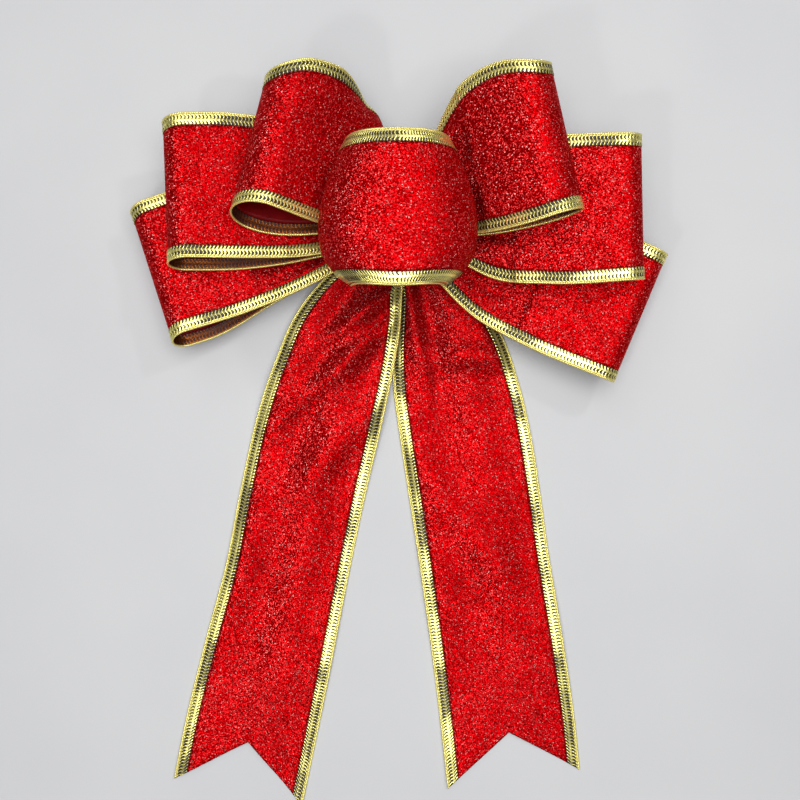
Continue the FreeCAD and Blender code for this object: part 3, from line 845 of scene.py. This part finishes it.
def strip_material():
    material, tree, shader = new_material("tie_strip_red")
    where = node(tree, "ShaderNodeTexCoord").outputs["Object"]
    noise = node(tree, "ShaderNodeTexNoise", {"Vector": where, "Scale": 700.0, "Detail": 3.0})
    grain = noise.outputs[0]
    ribs = node(
        tree, "ShaderNodeTexWave", {"Vector": where, "Scale": 260.0}, bands_direction="Y")
    shades = ramp(tree, grain, (0.3, (0.20, 0.006, 0.01)), (0.7, (0.34, 0.012, 0.02)))
    tree.links.new(shades, shader.inputs["Base Color"])
    tree.links.new(between(tree, grain, 0.0, 1.0, 0.3, 0.45), shader.inputs["Roughness"])
    tree.links.new(bumped(tree, ribs.outputs["Fac"], 0.4, 0.0002), shader.inputs["Normal"])
    return material


WIRE = wire_material("binding_wire_green", (0.22, 0.26, 0.20))
CORE = wire_material("tie_core_bright", (0.6, 0.6, 0.58))
STRIP = strip_material()
for cad_name, finish in (
    ("binding_wire", WIRE), ("binding_wire_twist", WIRE),
    ("tie_band_sleeve", STRIP), ("tie_left_leg_sleeve", STRIP), ("tie_right_leg_sleeve", STRIP),
    ("tie_band_core", CORE), ("tie_left_leg_core", CORE), ("tie_right_leg_core", CORE),
):
    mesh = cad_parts[cad_name].data
    mesh.materials.clear()
    mesh.materials.append(finish)
    print(f"{cad_name}: {finish.name}")

# %% [markdown]
# The bow lies on a plain pale table. It is a stage for the picture and not a piece of the bow.
# A faint cloudy mottle keeps it from looking like flat paint.

# %% The table
TABLE_SIZE = 6


def table():
    bpy.ops.mesh.primitive_plane_add(size=TABLE_SIZE, location=(0, 0, -0.0002))
    top = bpy.context.active_object
    top.name = "table_top"
    material, tree, shader = new_material("pale_table")
    where = node(tree, "ShaderNodeTexCoord").outputs["Object"]
    mottle = node(tree, "ShaderNodeTexNoise", {"Vector": where, "Scale": 9.0, "Detail": 3.0})
    shades = ramp(tree, mottle.outputs[0], (0.3, (0.462, 0.464, 0.474)), (0.7, (0.492, 0.493, 0.498)))
    tree.links.new(shades, shader.inputs["Base Color"])
    shader.inputs["Roughness"].default_value = 0.75
    top.data.materials.append(material)


table()
print(f"table_top: {TABLE_SIZE} m wide")

# %% [markdown]
# A wide soft lamp overhead gives the even ground and the shadows, a second one softens them, and
# two small hard ones give the flakes something to catch. Metal and glitter mostly mirror the
# room, so the world has a bright ceiling, dark walls and cloudy patches for them to pick up.

# %% Lamps and room
ROOM_LIGHT = 2.5
AIM = (0, -0.08, 0)


def lamp(name, place, size, power):
    """A square soft lamp that faces the bow's middle."""
    bpy.ops.object.light_add(type="AREA", location=place)
    light = bpy.context.active_object
    light.name = name
    light.data.shape = "SQUARE"
    light.data.size = size
    light.data.energy = power
    light.rotation_euler = (Vector(AIM) - Vector(place)).to_track_quat("-Z", "Y").to_euler()
    print(f"lamp {name}: {size} m wide, {power} W")


lamp("overhead", (0.05, -0.03, 1.00), size=0.66, power=8.6)
lamp("fill", (-0.45, 0.65, 0.95), size=0.6, power=1.7)
lamp("spark_near", (-0.30, -0.45, 0.75), size=0.06, power=0.9)
lamp("spark_far", (0.40, 0.35, 0.70), size=0.06, power=0.9)
world = bpy.data.worlds.new("room")
world.use_nodes = True
sky = world.node_tree
ray = node(sky, "ShaderNodeTexCoord").outputs["Generated"]
height = node(sky, "ShaderNodeSeparateXYZ", {0: ray}).outputs[2]
walls = ramp(
    sky, height, (0.30, (0.01, 0.01, 0.01)), (0.72, (0.05, 0.05, 0.052)),
    (0.90, (0.32, 0.325, 0.33)), (0.99, (1, 1, 1)),
)
clutter = node(sky, "ShaderNodeTexNoise", {"Vector": ray, "Scale": 2.2, "Detail": 1.0}).outputs[0]
patches = ramp(sky, clutter, (0.38, (0.40, 0.40, 0.40)), (0.58, (1.0, 1.0, 1.0)))
room = blend_colour(sky, 1.0, walls, patches, "MULTIPLY")
background = sky.nodes["Background"]
sky.links.new(room, background.inputs[0])
background.inputs[1].default_value = ROOM_LIGHT
bpy.context.scene.world = world
bpy.context.scene.view_settings.view_transform = "Standard"

# %% [markdown]
# The bow is seen from straight above, from about half a metre, so the loops that stand higher
# look larger. The lens is worked out from the angle that the view takes in.

# %% The camera
EYE_HEIGHT = 0.480
EYE_SIDE = 0.00093
EYE_BELOW = -0.08394
VIEW_DEGREES = 43.496
SENSOR = 36.0
eye = bpy.data.cameras.new("eye")
eye.sensor_width = SENSOR
eye.lens = eye.sensor_width / 2 / math.tan(math.radians(VIEW_DEGREES / 2))
camera = bpy.data.objects.new("camera", eye)
bpy.context.scene.collection.objects.link(camera)
camera.location = (EYE_SIDE, EYE_BELOW, EYE_HEIGHT)
bpy.context.scene.camera = camera
print(f"lens {eye.lens:.1f} mm, {EYE_HEIGHT:.2f} m above the table")
